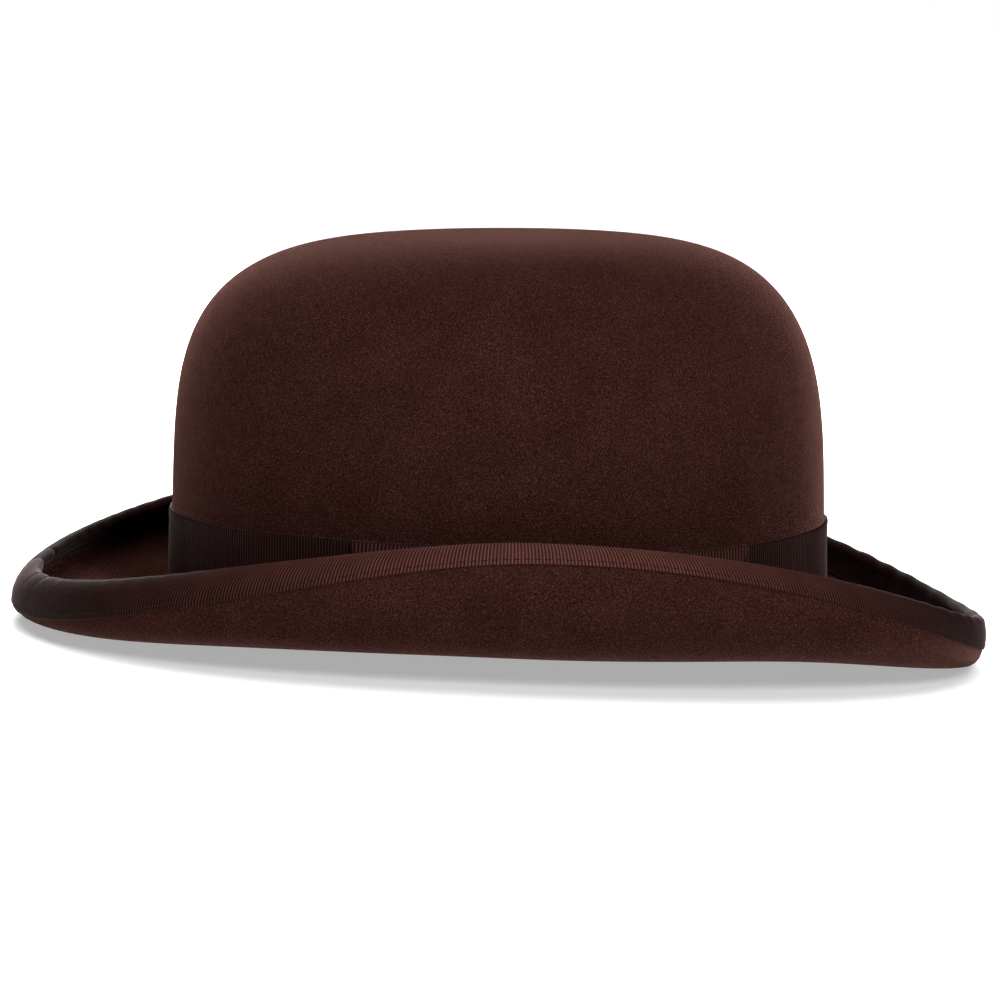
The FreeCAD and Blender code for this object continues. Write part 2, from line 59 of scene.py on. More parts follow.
# ---- sizes shared with the CAD model
FELT = 2.6 * MM
CROWN_CENTRE_Y = -0.3 * MM
CROWN_HALF_LENGTH = 104.5 * MM
CROWN_HALF_WIDTH = 89.0 * MM
CROWN_BASE = 10.28 * MM
CROWN_HEIGHT = 120.0 * MM
CROWN_WALL_HEIGHT = 27.0 * MM
CROWN_LEAN = 0.036
CROWN_TOP_SLOPE = 0.055
DOME_ROOT = 3.8
BREAK_RADIUS = 5.0 * MM
# Values that change round the hat: front, side, rear.
SECTIONS = {
    "crown_taper": (0.0, 0.15, 0.3),
    "dome_power": (3.6, 2.6, 3.8),
    "break_rise": (-3.2 * MM, 0.0, 1.5 * MM),
    "brim_width": (60.5 * MM, 57.0 * MM, 61.5 * MM),
    "brim_slope": (-10.5, 6.0, -18.0),
    "brim_curl": (157.0, 169.0, 105.0),
    "curl_power": (4.5, 1.6, 3.5),
    "corner_turn": (56.0, 10.0, 62.0),
    "binding_under": (12.2 * MM, 9.0 * MM, 8.0 * MM),
    "band_top": (31.3 * MM, 31.3 * MM, 33.2 * MM),
}
SLOPE_SHARPNESS = 2.3
CURL_SHARPNESS = 2.6
CORNER_SHARPNESS = 4.5
CORNER_PLACE = 0.74
CORNER_WIDTH = 0.115
RIBBON_GAP = 0.15 * MM
BINDING_WIDTH = 25.0 * MM
BINDING_THICKNESS = 0.6 * MM
THREAD_INSET = 1.4 * MM
BAND_THICKNESS = 0.7 * MM
BAND_FOOT = 4.5 * MM
BOW_FRONT, BOW_REAR, BOW_KNOT = (math.radians(angle) for angle in (120.0, 50.0, 85.0))
BOW_HEIGHT = 27.0 * MM
BOW_WAIST = 17.0 * MM
BOW_THICKNESS = 3.0 * MM
BOW_WAIST_THICKNESS = 1.8 * MM
KNOT_WIDTH, KNOT_HEIGHT, KNOT_THICKNESS = 15.0 * MM, 20.0 * MM, 2.2 * MM
SWEATBAND = 1.0 * MM
SWEATBAND_HEIGHT = 37.0 * MM
SWEATBAND_FOOT = 3.0 * MM
SWEATBAND_FOOT_GAP = 0.8 * MM
SWEATBAND_TOP_GAP = 2.4 * MM
REED_RADIUS = 0.7 * MM
REED_TAPE_INNER = 0.8 * MM
REED_TAPE = 0.3 * MM
REED_TAPE_LEG = 4.0 * MM
LINING = 0.4 * MM
LINING_GAP = 1.8 * MM
LINING_FOOT = 24.0 * MM
LINING_TOP = 0.42
TIP_HALF_LENGTH, TIP_HALF_WIDTH, TIP_DROP = 67.0 * MM, 53.0 * MM, 14.0 * MM
PIPING_RADIUS = 1.0 * MM

# Ribs of the grosgrain ribbons: those of the binding, and the flatter ones of the band and the bow.
BINDING_RIB_PITCH = 0.98 * MM
RIB_PITCH = 1.03 * MM
RIB_DEPTH = 0.24 * MM
FLAT_RIB_DEPTH = RIB_DEPTH * 0.8
RIB_SHARPNESS = 2.0
COLUMNS_PER_RIB = 4
# How far the binding's ribs lean towards the sides of the hat, as an angle round it.
RIB_LEAN = 0.057
# Share of a rib's tone that is left on a ribbon's edge: the rest is taken off as painted shade, to keep the
# edge faces dark.
SHADED_EDGE_SHARE = 0.2
# Creases of the binding at the front of the hat: angle from the front, and depth.
CREASES = ((-0.30, 1.3), (-0.215, 1.8), (-0.135, 1.2), (0.12, 1.3), (0.23, 1.6))
CREASE_WIDTH = 0.014
# Radius of the crown's base oval at the rear, and the largest sine that counts as the rear.
REAR_RADIUS = CROWN_HALF_WIDTH ** 2 / CROWN_HALF_LENGTH
REAR_SINE = 0.2
# Number of points that measure a curve round the hat.
CURVE_SAMPLES = 2881


# ---- the hat's shape
def vector(x, y, z):
    """Points from three arrays that fit each other."""
    return np.stack(np.broadcast_arrays(x, y, z), axis=-1).astype(float)


def unit(points):
    return points / np.maximum(np.linalg.norm(points, axis=-1, keepdims=True), 1e-12)


def around(name, theta, sharpness=2.0):
    front, side, rear = SECTIONS[name]
    tip = np.where(np.cos(theta) > 0, rear, front)
    return side + (tip - side) * np.abs(np.cos(theta)) ** sharpness


def outward(theta):
    """Level direction out from the crown's base oval."""
    return unit(vector(np.sin(theta) / CROWN_HALF_WIDTH, np.cos(theta) / CROWN_HALF_LENGTH, 0))


def break_height(theta):
    """Height of the line where the crown turns into the brim."""
    return CROWN_BASE + around("break_rise", theta)


def crown_point(theta, share, height):
    """Outer felt surface of the crown, at a share of its base oval and a height above the floor."""
    rise = height - CROWN_BASE
    scale = share * (1 - around("crown_taper", theta) * rise)
    y = CROWN_HALF_LENGTH * np.cos(theta) * scale
    z = height + CROWN_TOP_SLOPE * y * (rise / CROWN_HEIGHT) ** 2
    return vector(CROWN_HALF_WIDTH * np.sin(theta) * scale, y - CROWN_LEAN * rise + CROWN_CENTRE_Y, z)


def dome_point(theta, part):
    """Outer surface from the crown's highest point (part 0) to the top of its wall (part 1)."""
    angle = part * math.pi / 2
    share = np.maximum(np.sin(angle), 0) ** (2 / DOME_ROOT)
    climb = np.maximum(np.cos(angle), 0) ** (2 / around("dome_power", theta))
    height = CROWN_BASE + CROWN_WALL_HEIGHT + climb * (CROWN_HEIGHT - CROWN_WALL_HEIGHT)
    return crown_point(theta, share, height)


def eased(part):
    """Smooth climb from 0 to 1."""
    part = np.clip(part, 0, 1)
    return part * part * (3 - 2 * part)


def brim_line(theta, share):
    """Reach, rise and slope of the middle of the brim's felt, at a share of its width."""
    steps = 40
    width = around("brim_width", theta)
    start = np.radians(around("brim_slope", theta, SLOPE_SHARPNESS))
    corner = np.radians(around("corner_turn", theta, CORNER_SHARPNESS))
    turn = np.radians(around("brim_curl", theta, CURL_SHARPNESS)) - start - corner
    power = around("curl_power", theta)

    def slope_at(place):
        return start + turn * place ** power + corner * eased((place - CORNER_PLACE) / CORNER_WIDTH)

    reach = np.zeros(np.broadcast(theta, share).shape)
    rise = np.zeros_like(reach)
    for index in range(steps):
        slope = slope_at((index + 0.5) / steps * share)
        reach += np.cos(slope) * share / steps * width
        rise += np.sin(slope) * share / steps * width
    return reach, rise, slope_at(share)


def brim_point(theta, share, offset, along=0.0):
    """Point of the brim, offset from the middle of the felt; along carries it past the edge."""
    reach, rise, slope = brim_line(theta, share)
    reach = reach + along * np.cos(slope) - offset * np.sin(slope)
    rise = rise + along * np.sin(slope) + offset * np.cos(slope)
    oval = vector(CROWN_HALF_WIDTH * np.sin(theta), CROWN_HALF_LENGTH * np.cos(theta) + CROWN_CENTRE_Y, 0)
    return oval + outward(theta) * reach[..., None] + vector(0, 0, break_height(theta) + rise)


def break_point(theta, blend):
    """The round above the brim, from the wall's foot (0) to the brim (1)."""
    half = FELT / 2
    foot = break_height(theta) + half
    blend = np.asarray(blend)[..., None]
    start = crown_point(theta, 1.0, foot + BREAK_RADIUS)
    corner = crown_point(theta, 1.0, foot)
    end = brim_point(theta, BREAK_RADIUS / around("brim_width", theta), half)
    return start * (1 - blend) ** 2 + corner * 2 * blend * (1 - blend) + end * blend ** 2


def outer_point(theta, place):
    """Outer surface: 0 to 1 is the dome, 1 to 2 the wall, 2 to 3 the round above the brim."""
    theta, place = np.broadcast_arrays(theta, place)
    wall_top = CROWN_BASE + CROWN_WALL_HEIGHT
    wall_foot = break_height(theta) + FELT / 2 + BREAK_RADIUS
    wall = crown_point(theta, 1.0, wall_top + (np.clip(place, 1, 2) - 1) * (wall_foot - wall_top))
    dome = dome_point(theta, np.clip(place, 0, 1))
    foot = break_point(theta, np.clip(place - 2, 0, 1))
    level = place[..., None]
    return np.where(level <= 1, dome, np.where(level <= 2, wall, foot))


def inner_point(theta, place, depth):
    """Point at a depth below the outer surface, square to it."""
    step = 0.002
    along = outer_point(theta, place + step) - outer_point(theta, place - step)
    across = outer_point(theta + step, place) - outer_point(theta - step, place)
    return outer_point(theta, place) - unit(np.cross(across, along)) * np.asarray(depth)[..., None]


def wall_point(theta, height, offset):
    """Point beside the crown's wall, at a height above the break; offset is outwards."""
    wall = crown_point(theta, 1.0, break_height(theta) + height)
    return wall + outward(theta) * np.asarray(offset)[..., None]


def unevenness(points):
    """Small lasting bends that blocking and wear leave in the hat: the same for every piece at a place."""
    x, y, z = points[..., 0], points[..., 1], points[..., 2]
    theta = np.arctan2(x / CROWN_HALF_WIDTH, y / CROWN_HALF_LENGTH)
    spread = np.hypot(x / CROWN_HALF_WIDTH, y / CROWN_HALF_LENGTH)
    brim = eased((spread - 1) / 0.25)
    lift = 0.25 * np.sin(theta) + 0.7 * np.sin(2 * theta + 0.8) + 0.27 * np.sin(3 * theta - 0.7)
    lift = lift + 0.08 * np.sin(9 * theta)
    reach = 0.25 * np.sin(2 * theta) - 0.3 * np.cos(theta)
    swell = 0.16 * np.sin(42 * y + 3 * theta) + 0.12 * np.sin(61 * z + 4 * theta + 1.0)
    swell = swell * np.clip(spread * 1.5, 0, 1) + reach * brim
    return outward(theta) * (swell * MM)[..., None] + vector(0, 0, lift * brim * MM)


# ---- meshes
def travelled_along(path):
    """Distance travelled along a path at each of its points."""
    return np.concatenate([[0], np.cumsum(np.linalg.norm(np.diff(path, axis=0), axis=1))])


def even_angles(curve, count, start=0.0, end=TURN):
    """Angles whose points on curve(theta) are evenly spaced, and the curve's length."""
    fine = np.linspace(start, end, CURVE_SAMPLES)
    travelled = travelled_along(curve(fine))
    closed = abs(end - start - TURN) < 1e-9
    shares = np.arange(count) / (count if closed else count - 1)
    return np.interp(shares * travelled[-1], travelled, fine), travelled[-1]


def grid_faces(rows, columns, close_rows, close_columns):
    """Quads over a grid of vertices whose columns run fastest."""
    row_count = rows if close_rows else rows - 1
    column_count = columns if close_columns else columns - 1
    row, column = np.meshgrid(np.arange(row_count), np.arange(column_count), indexing="ij")
    next_row, next_column = (row + 1) % rows, (column + 1) % columns
    quads = [row * columns + column, next_row * columns + column,
             next_row * columns + next_column, row * columns + next_column]
    return np.stack(quads, axis=-1).reshape(-1, 4)


def add_piece(name, points, faces, material, replaces, attributes=None):
    """A closed mesh piece of the hat that rides on its body."""
    points = np.asarray(points, float).reshape(-1, 3)
    points = points + unevenness(points)
    mesh = bpy.data.meshes.new(name)
    mesh.from_pydata(points.tolist(), [], [list(map(int, face)) for face in faces])
    for attribute, values in (attributes or {}).items():
        layer = mesh.attributes.new(attribute, "FLOAT", "POINT")
        layer.data.foreach_set("value", np.asarray(values, np.float32).ravel())
    mesh.validate()
    mesh.polygons.foreach_set("use_smooth", [True] * len(mesh.polygons))
    mesh.update()
    piece = bpy.data.objects.new(name, mesh)
    bpy.context.scene.collection.objects.link(piece)
    mesh.materials.append(material)
    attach(piece, "root")
    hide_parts(*replaces)
    face_outwards(mesh)
    return piece


def face_outwards(mesh):
    """Turns a closed mesh's faces so that they all point out."""
    edited = bmesh.new()
    edited.from_mesh(mesh)
    bmesh.ops.recalc_face_normals(edited, faces=edited.faces)
    edited.to_mesh(mesh)
    edited.free()


def capped_faces(rows):
    """Faces of a flat tube whose rings are the columns of the rows; both its ends are closed."""
    count, columns = len(rows), len(rows[0])
    faces = grid_faces(count, columns, True, False).tolist()
    for column in (0, columns - 1):
        for index in range(count // 2 - 1):
            ring = (index, index + 1, count - 2 - index, count - 1 - index)
            faces.append([row * columns + column for row in ring])
    return faces


class RibbonRows:
    """Rows of a ribbed ribbon: their points, and what the ribbon's material reads there; its rib value paints
    shade in the grooves and a highlight on the rib backs.
    """

    def __init__(self):
        self.points, self.rib, self.across = [], [], []

    def add(self, points, rib, across):
        self.points.append(points)
        self.rib.append(np.broadcast_to(rib, len(points)))
        self.across.append(np.broadcast_to(across, len(points)))

    def attributes(self, **others):
        return {"rib": self.rib, "across": self.across, **others}


def closed_band(name, rows, material, replaces, attributes=None):
    """A band round the hat: rows are rings, the last joined to the first."""
    faces = grid_faces(len(rows), len(rows[0]), True, True)
    return add_piece(name, rows, faces, material, replaces, attributes)


def rods(name, starts, ends, normals, radius, rise, replaces):
    """Short stitches: each one a thin rod that rises along its normal in the middle."""
    sides, rings = 6, 7
    part = np.linspace(0, 1, rings)
    swell = np.sin(np.clip(part, 0.04, 0.96) * math.pi) ** 0.45
    run = ends - starts
    side = unit(np.cross(run, normals))
    angle = np.arange(sides) * TURN / sides
    centre = starts[:, None] + run[:, None] * part[None, :, None]
    centre = centre + normals[:, None] * (rise * np.sin(part * math.pi))[None, :, None]
    reach = radius * swell[None, :, None, None]
    ring = side[:, None, None] * np.cos(angle)[None, None, :, None]
    ring = ring + normals[:, None, None] * np.sin(angle)[None, None, :, None]
    points = centre[:, :, None] + ring * reach
    faces = []
    one = grid_faces(rings, sides, False, True)
    caps = [list(range(sides))[::-1], [(rings - 1) * sides + index for index in range(sides)]]
    for index in range(len(starts)):
        first = index * rings * sides
        faces += (one + first).tolist()
        faces += [[corner + first for corner in cap] for cap in caps]
    return add_piece(name, points, faces, THREAD_LOOK, replaces)


# ---- materials
def material_nodes(name):
    material = bpy.data.materials.new(name)
    material.use_nodes = True
    tree = material.node_tree
    return material, tree, tree.nodes["Principled BSDF"]


def set_inputs(node, **values):
    for name, value in values.items():
        node.inputs[name.replace("_", " ")].default_value = value


def noise(tree, scale, detail=2.0, roughness=0.5, stretch=(1, 1, 1)):
    """Noise over the piece's own coordinates; scale is cells to the metre."""
    coordinates = tree.nodes.new("ShaderNodeTexCoord")
    mapping = tree.nodes.new("ShaderNodeMapping")
    set_inputs(mapping, Scale=stretch)
    texture = tree.nodes.new("ShaderNodeTexNoise")
    set_inputs(texture, Scale=scale, Detail=detail, Roughness=roughness)
    tree.links.new(coordinates.outputs["Object"], mapping.inputs["Vector"])
    tree.links.new(mapping.outputs["Vector"], texture.inputs["Vector"])
    return texture.outputs["Fac"]


def mathematics(tree, operation, first, second=0.0, third=None):
    node = tree.nodes.new("ShaderNodeMath")
    node.operation = operation
    values = [first, second] if third is None else [first, second, third]
    for socket, value in zip(node.inputs, values):
        if isinstance(value, (int, float)):
            socket.default_value = value
        else:
            tree.links.new(value, socket)
    return node.outputs[0]


def mixture(tree, first, *others):
    """Sum of (value, weight) pairs."""
    total = mathematics(tree, "MULTIPLY", *first)
    for value, weight in others:
        total = mathematics(tree, "MULTIPLY_ADD", value, weight, total)
    return total


def rescale(tree, value, low, high, new_low, new_high):
    node = tree.nodes.new("ShaderNodeMapRange")
    tree.links.new(value, node.inputs["Value"])
    set_inputs(node, From_Min=low, From_Max=high, To_Min=new_low, To_Max=new_high)
    return node.outputs["Result"]


def attribute(tree, name):
    node = tree.nodes.new("ShaderNodeAttribute")
    node.attribute_name = name
    return node.outputs["Fac"]


def paint(tree, shader, value, stops):
    """Base colour from a ramp with (place, colour) stops."""
    ramp = tree.nodes.new("ShaderNodeValToRGB")
    elements = ramp.color_ramp.elements
    while len(elements) < len(stops):
        elements.new(0.5)
    for element, (place, colour) in zip(elements, stops):
        element.position = place
        element.color = (*colour, 1)
    tree.links.new(value, ramp.inputs["Fac"])
    tree.links.new(ramp.outputs["Color"], shader.inputs["Base Color"])


def bump(tree, shader, height, distance, strength, base=None):
    """Relief of a shader's surface, over the relief of an earlier bump if there is one."""
    node = tree.nodes.new("ShaderNodeBump")
    set_inputs(node, Distance=distance, Strength=strength)
    tree.links.new(height, node.inputs["Height"])
    if base is not None:
        tree.links.new(base, node.inputs["Normal"])
    tree.links.new(node.outputs["Normal"], shader.inputs["Normal"])
    return node.outputs["Normal"]


def shades(colour, *factors):
    """Darker and lighter versions of a colour, spread evenly over a ramp."""
    versions = [tuple(channel * factor for channel in colour) for factor in factors]
    return [(index / (len(factors) - 1), version) for index, version in enumerate(versions)]


def felt_material():
    """Short-napped felt: greyer tips over darker, redder roots, in specks of under half a millimetre."""
    material, tree, shader = material_nodes("wool_felt")
    fine = noise(tree, 4200, 2.0, 0.7)
    grain = noise(tree, 2300, 2.0, 0.65)
    clouds = noise(tree, 60, 3.0, 0.55)
    mottle = mixture(tree, (grain, 0.6), (fine, 0.4), (clouds, 0.08))
    value = rescale(tree, mottle, 0.40, 0.68, 0.0, 1.0)
    stops = [(0.0, (0.0045, 0.0013, 0.0010)), (0.35, (0.0150, 0.0045, 0.0035)),
             (0.65, (0.0240, 0.0082, 0.0065)), (1.0, (0.056, 0.024, 0.020))]
    paint(tree, shader, value, stops)
    set_inputs(shader, Roughness=0.95, Specular_IOR_Level=0.0, Sheen_Weight=0.36, Sheen_Roughness=0.13,
                  Sheen_Tint=(1.0, 0.50, 0.42, 1))
    rough = bump(tree, shader, grain, 0.0003, 0.7)
    bump(tree, shader, fine, 0.0002, 0.8, rough)
    return material


def grosgrain_material(name, colour, painted_rib_highlight, sheen, tint, roughness):
    """Ribbed ribbon: the ribs are in the mesh; the shader adds their yarns, painted shade in the grooves
    between them and a painted highlight on their backs.

    Where the tip mask is high, towards the front and rear of the hat, the colour is darkened as painted
    shade, and the sheen is stronger where the mask is fullest.
    """
    yarn_width = 0.32 * MM
    material, tree, shader = material_nodes(name)
    rib = attribute(tree, "rib")
    across = attribute(tree, "across")
    dulled = attribute(tree, "dulled")
    yarn = mathematics(tree, "SINE", mathematics(tree, "MULTIPLY", across, TURN / yarn_width))
    fuzz = noise(tree, 2600, 2.0, 0.6)
    clouds = noise(tree, 120, 2.0, 0.5)
    beads = mathematics(tree, "MULTIPLY", mathematics(tree, "ADD", yarn, 1.0), 0.5)
    # Painted shade: low rib values in the grooves give the darkest tones, and the tip mask darkens the front
    # and rear tips.
    value = mixture(tree, (fuzz, 0.24), (beads, 0.14), (rib, 0.62), (clouds, 0.16), (dulled, -0.56))
    stops = shades(colour, 0.03, 0.25, 1.0, 1.0)
    # Painted highlight: the rib backs take the lighter, paler ridge colour.
    stops[-1] = (1.0, painted_rib_highlight)
    paint(tree, shader, value, stops)
    set_inputs(shader, Roughness=roughness, Specular_IOR_Level=0.03, Sheen_Roughness=0.28,
                  Sheen_Tint=(*tint, 1))
    tip_sheen = mathematics(tree, "POWER", dulled, 6.0)
    tree.links.new(mathematics(tree, "MULTIPLY_ADD", tip_sheen, 0.2, sheen), shader.inputs["Sheen Weight"])
    height = mixture(tree, (fuzz, 0.8), (yarn, 0.3))
    bump(tree, shader, height, 0.00006, 0.8)
    return material


def thread_material(name, colour):
    material, tree, shader = material_nodes(name)
    twist = noise(tree, 3500, 2.0, 0.5, (1, 1, 0.4))
    paint(tree, shader, twist, shades(colour, 0.6, 1.4))
    set_inputs(shader, Roughness=0.8, Specular_IOR_Level=0.1)
    bump(tree, shader, twist, 0.00008, 0.7)
    return material


def leather_material():
    material, tree, shader = material_nodes("sweatband_leather")
    coordinates = tree.nodes.new("ShaderNodeTexCoord")
    pores = tree.nodes.new("ShaderNodeTexVoronoi")
    pores.feature = "DISTANCE_TO_EDGE"
    set_inputs(pores, Scale=850)
    tree.links.new(coordinates.outputs["Object"], pores.inputs["Vector"])
    clouds = noise(tree, 60, 4.0, 0.6)
    fine = noise(tree, 1500, 2.0, 0.5)
    value = mixture(tree, (clouds, 0.8), (fine, 0.3))
    paint(tree, shader, value, shades((0.085, 0.038, 0.024), 0.6, 0.95, 1.4))
    tree.links.new(rescale(tree, clouds, 0.3, 0.7, 0.42, 0.58), shader.inputs["Roughness"])
    set_inputs(shader, Specular_IOR_Level=0.45)
    creases = rescale(tree, pores.outputs["Distance"], 0.0, 0.12, 0.0, 1.0)
    bump(tree, shader, creases, 0.00012, 0.5)
    return material


def satin_material(name, colour, tint):
    material, tree, shader = material_nodes(name)
    threads = noise(tree, 2400, 2.0, 0.5, (1, 1, 0.25))
    clouds = noise(tree, 90, 2.0, 0.5)
    value = mixture(tree, (clouds, 0.5), (threads, 0.5))
    paint(tree, shader, value, shades(colour, 0.6, 1.0, 1.5))
    tree.links.new(rescale(tree, threads, 0.3, 0.7, 0.3, 0.45), shader.inputs["Roughness"])
    set_inputs(shader, Sheen_Weight=0.35, Sheen_Roughness=0.3, Sheen_Tint=(*tint, 1), Anisotropic=0.4)
    bump(tree, shader, threads, 0.00005, 0.5)
    return material


def cloth_material(name, colour):
    """Plain weave of two sets of yarns."""
    material, tree, shader = material_nodes(name)
    first = noise(tree, 2300, 1.0, 0.5, (1, 1, 0.12))
    second = noise(tree, 2300, 1.0, 0.5, (0.12, 0.12, 1))
    weave = mathematics(tree, "ADD", first, second)
    paint(tree, shader, mathematics(tree, "MULTIPLY", weave, 0.5), shades(colour, 0.6, 1.0, 1.4))
    set_inputs(shader, Roughness=0.85, Sheen_Weight=0.2)
    bump(tree, shader, weave, 0.0001, 0.5)
    return material


def plastic_material():
    material, tree, shader = material_nodes("reed_plastic")
    cloud = noise(tree, 200, 2.0)
    paint(tree, shader, cloud, shades((0.6, 0.58, 0.52), 0.9, 1.05))
    set_inputs(shader, Roughness=0.45)
    return material


def floor_material():
    material, tree, shader = material_nodes("pale_floor")
    speck = noise(tree, 300, 2.0)
    paint(tree, shader, speck, shades((0.74, 0.74, 0.74), 0.995, 1.005))
    set_inputs(shader, Roughness=0.9, Emission_Color=(1, 1, 1, 1), Emission_Strength=0.4)
    return material


FELT_LOOK = felt_material()
# Second colour of each ribbon: the painted highlight on its rib backs.
BINDING_LOOK = grosgrain_material("binding_ribbon", (0.052, 0.0158, 0.0122), (0.108, 0.048, 0.038), 0.05,
                                  (1.0, 0.75, 0.72), 0.75)
BAND_LOOK = grosgrain_material("band_grosgrain", (0.0105, 0.0032, 0.0025), (0.046, 0.019, 0.015), 0.14,
                               (1.0, 0.68, 0.66), 0.6)
BOW_LOOK = grosgrain_material("bow_grosgrain", (0.028, 0.0090, 0.0070), (0.086, 0.040, 0.031), 0.08,
                              (1.0, 0.6, 0.55), 0.65)
THREAD_LOOK = thread_material("sewing_thread", (0.013, 0.0041, 0.0033))
LEATHER_LOOK = leather_material()
SATIN_LOOK = satin_material("lining_satin", (0.030, 0.016, 0.014), (0.6, 0.5, 0.5))
RIBBON_LOOK = satin_material("small_bow_ribbon", (0.028, 0.012, 0.011), (0.7, 0.5, 0.5))
TAPE_LOOK = cloth_material("tape_cloth", (0.03, 0.014, 0.012))
TAG_LOOK = cloth_material("tag_cloth", (0.72, 0.69, 0.61))
REED_LOOK = plastic_material()


# ---- felt body
def felt_body():
    """Crown and brim in one closed surface: out over the top and the brim, round its edge and back inside."""
    columns = 400
    half = FELT / 2
    theta, _ = even_angles(lambda angle: brim_point(angle, 0.8, 0.0), columns)
    start = BREAK_RADIUS / around("brim_width", theta)
    dome, wall, foot = (np.linspace(0, 1, steps)[1:] for steps in (47, 15, 9))
    places = np.concatenate([dome, 1 + wall, 2 + foot[:-1]])
    reaches = [start + (1 - start) * share for share in np.linspace(0, 1, 37)]
    turns = np.radians(np.linspace(-90, 90, 11)[1:-1])
    rows = [outer_point(theta, place) for place in places]
    rows += [brim_point(theta, reach, half) for reach in reaches]
    for turn in turns[::-1]:
        rows.append(brim_point(theta, 1.0, half * math.sin(turn), half * math.cos(turn)))
    rows += [brim_point(theta, reach, -half) for reach in reaches[::-1]]
    rows += [inner_point(theta, place, FELT) for place in places[::-2]]
    rows = np.array(rows)
    count = len(rows)
    top = outer_point(np.zeros(1), np.zeros(1))[0]
    under_top = top - np.array([0, -CROWN_TOP_SLOPE, 1]) * FELT
    points = np.concatenate([rows.reshape(-1, 3), [top, under_top]])
    faces = grid_faces(count, columns, False, True).tolist()
    top_index, under_index = count * columns, count * columns + 1
    last = (count - 1) * columns
    for column in range(columns):
        beside = (column + 1) % columns
        faces.append([top_index, column, beside])
        faces.append([under_index, last + beside, last + column])
    add_piece("felt_crown_and_brim", points, faces, FELT_LOOK, ["felt_body"])


# ---- brim binding
def binding_under(theta):
    """Width of the binding's leg under the brim; it wavers where the ribbon was pulled round."""
    waver = 0.4 * np.cos(3 * theta) - 0.26 * np.sin(theta + 0.67) - 0.28 * np.sin(2 * theta - 0.73)
    return around("binding_under", theta) + waver * MM


def binding_upper(theta):
    over_edge = math.pi * (FELT / 2 + RIBBON_GAP)
    return BINDING_WIDTH - over_edge - binding_under(theta)


def rib_phase(columns):
    """Height of the ribs at each column: 1 on a rib's back, 0 between two ribs."""
    return np.sin(np.pi * (np.arange(columns) % COLUMNS_PER_RIB) / COLUMNS_PER_RIB) ** RIB_SHARPNESS


def puckers(theta):
    """Small folds of the binding where it turns the tight corners of the brim: above and below 0."""
    from_front = np.abs(theta - math.pi)
    from_rear = np.minimum(theta, TURN - theta)
    broad = np.exp(-(from_front / 0.30) ** 2) + np.exp(-(from_rear / 0.42) ** 2)
    fine = 0.6 * np.exp(-((from_front - 0.60) / 0.22) ** 2) + np.exp(-((from_rear - 0.45) / 0.17) ** 2)
    waves = 0.4 * broad * np.sin(46 * theta + 2.2 * np.sin(5 * theta))
    waves = waves + 0.65 * fine * np.sin(104 * theta + 2.6 * np.sin(7 * theta))
    for place, depth in CREASES:
        waves = waves - depth * np.exp(-((theta - math.pi - place) / CREASE_WIDTH) ** 2)
    return waves


def leg_point(theta, leg_width, distance, offset):
    """Point beside the brim's felt, at a distance from the selvedge of a leg of the binding."""
    return brim_point(theta, 1 - (leg_width - distance) / around("brim_width", theta), offset)


def binding_row(theta, place, offset):
    """Row of the binding: place -1 is the lower selvedge, 0 the brim's edge and 1 the upper selvedge."""
    edge_share = 0.22
    if abs(place) <= edge_share:
        turn = place / edge_share * math.pi / 2
        return brim_point(theta, 1.0, offset * math.sin(turn), offset * math.cos(turn))
    leg = binding_under(theta) if place < 0 else binding_upper(theta)
    distance = leg * (1 - abs(place)) / (1 - edge_share)
    return leg_point(theta, leg, distance, offset * (1 if place > 0 else -1))


def rib_lean(theta, place):
    """Angle that a rib has leaned by at a place across the binding: none at the lower selvedge."""
    return RIB_LEAN * np.sin(2 * theta) * ((1 + place) / 2) ** 2


def ribbed_angles(curve, pitch):
    """Angles of a ribbed band's columns along curve(theta), and the curve's length."""
    length = even_angles(curve, 2)[1]
    return even_angles(curve, round(length / pitch) * COLUMNS_PER_RIB)


def brim_binding():
    """Ribbon folded over the brim's edge: a leg below, a leg above and the turn between them."""
    inside = FELT / 2 + RIBBON_GAP
    theta, length = ribbed_angles(lambda angle: brim_point(angle, 1.0, 0.0, inside),
                                  BINDING_RIB_PITCH)
    ribs = rib_phase(len(theta))
    fold = puckers(theta)
    stretches = ((-1, -0.86, 4), (-0.76, -0.32, 4), (-0.2, 0.2, 5), (0.32, 0.76, 4), (0.86, 1, 3))
    outer_places = np.concatenate([np.linspace(*stretch) for stretch in stretches])
    inner_places = (1, 0.6, 0.22, 0, -0.22, -0.5, -0.75, -1)
    # Mask growing towards the front and rear tips: it flattens the ribs there, and the material uses it to
    # paint shade on those tips.
    dulled = np.abs(np.cos(theta)) ** 1.7
    rows = RibbonRows()
    for place in outer_places:
        from_selvedge = 1 - abs(place)
        bead = 0.08 * MM * math.exp(-(from_selvedge / 0.05) ** 2)
        seam = 0.16 * MM * math.exp(-((from_selvedge - 0.12) / 0.035) ** 2)
        crest = 0.5 * MM * math.exp(-((place - 0.2) / 0.45) ** 2)
        body = BINDING_THICKNESS * (0.15 + 0.45 * eased(from_selvedge / 0.08))
        offset = inside + body + ribs * RIB_DEPTH * (1 - 0.4 * dulled) + bead - seam + fold * crest
        rows.add(binding_row(theta + rib_lean(theta, place), place, offset), ribs,
                 (place + 1) * BINDING_WIDTH / 2)
    # The hidden inner face carries rib 0, so it takes the painted groove shade all over.
    for place in inner_places:
        rows.add(binding_row(theta + rib_lean(theta, place), place, inside), 0.0,
                 (place + 1) * BINDING_WIDTH / 2)
    piece = closed_band("brim_binding_ribbon", rows.points, BINDING_LOOK, ["brim_binding"],
                        rows.attributes(dulled=[dulled] * len(rows.points)))
    return length


